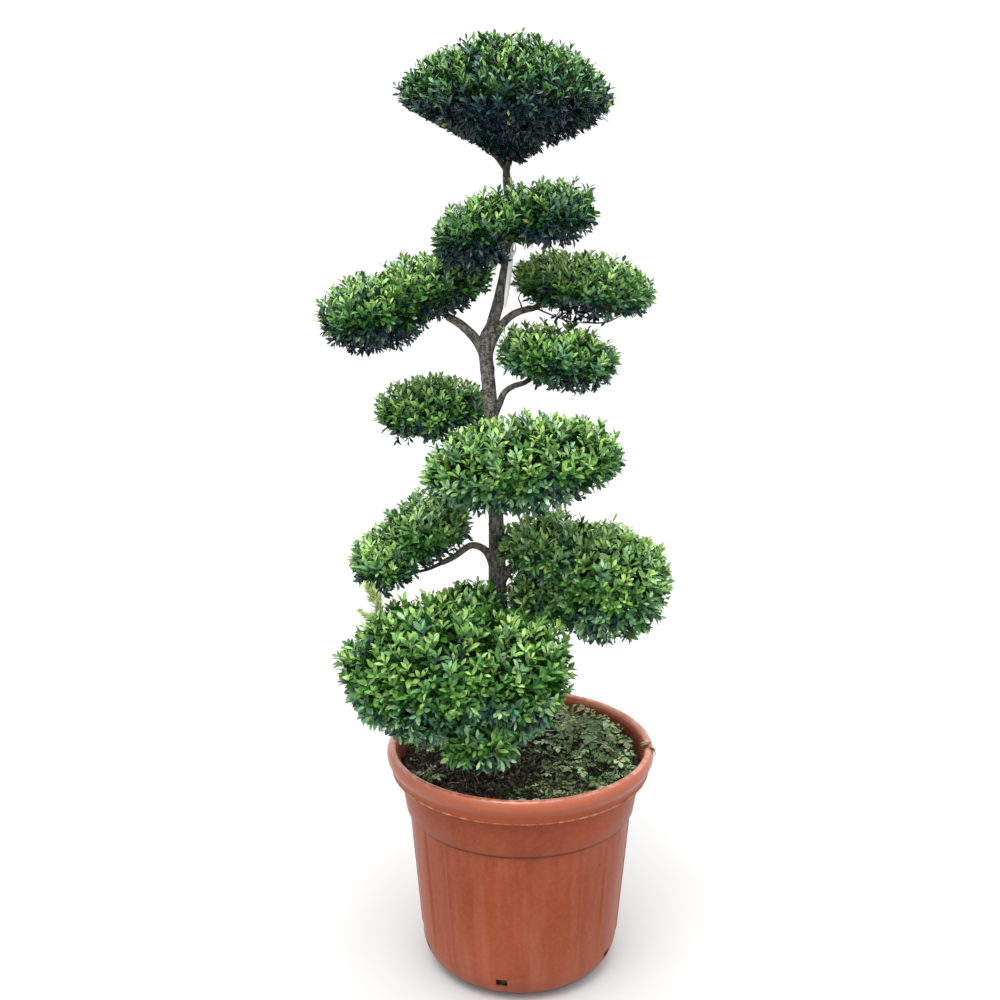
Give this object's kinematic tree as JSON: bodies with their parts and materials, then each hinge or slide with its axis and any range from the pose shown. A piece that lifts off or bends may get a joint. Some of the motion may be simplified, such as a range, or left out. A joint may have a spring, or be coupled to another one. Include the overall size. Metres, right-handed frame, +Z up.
{
  "type": "cloud-pruned holly topiary in pot",
  "caption": "Slender evergreen shrub clipped into separate rounded pads of small leaves on a leaning trunk, growing in a round tapered pot with a rolled rim and raised panels.",
  "frame": {"origin": "centre of the pot's flat underside", "axes": "+Z up the plant, +X to the right and -Y towards someone who looks at its front"},
  "size_m": [0.6085, 0.5241, 1.6965],
  "materials": {
    "pot_plastic": "moulded terracotta-coloured plastic, dusty, with a smoother rim",
    "compost": "dark moist compost with moss and small weeds",
    "label_plastic": "thin blank white plastic strip",
    "bark": "grey-brown bark with small cross marks",
    "foliage": "small glossy evergreen leaves, brighter on the young tips"
  },
  "bodies": {
    "root": {"pot": "pot_plastic", "root_ball": "compost", "label_strip": "label_plastic", "trunk": "bark", "bough_upper_left": "bark", "bough_upper_right": "bark", "bough_mid_right": "bark", "bough_mid_left": "bark", "bough_lower_left_rise": "bark", "bough_lower_left_reach": "bark", "bough_lower_right": "bark", "pad_crown": "foliage", "pad_upper_front": "foliage", "pad_upper_left": "foliage", "pad_upper_right": "foliage", "pad_mid_right": "foliage", "pad_mid_left": "foliage", "pad_centre": "foliage", "pad_lower_left": "foliage", "pad_lower_right": "foliage", "pad_base": "foliage"}
  },
  "joints": []
}
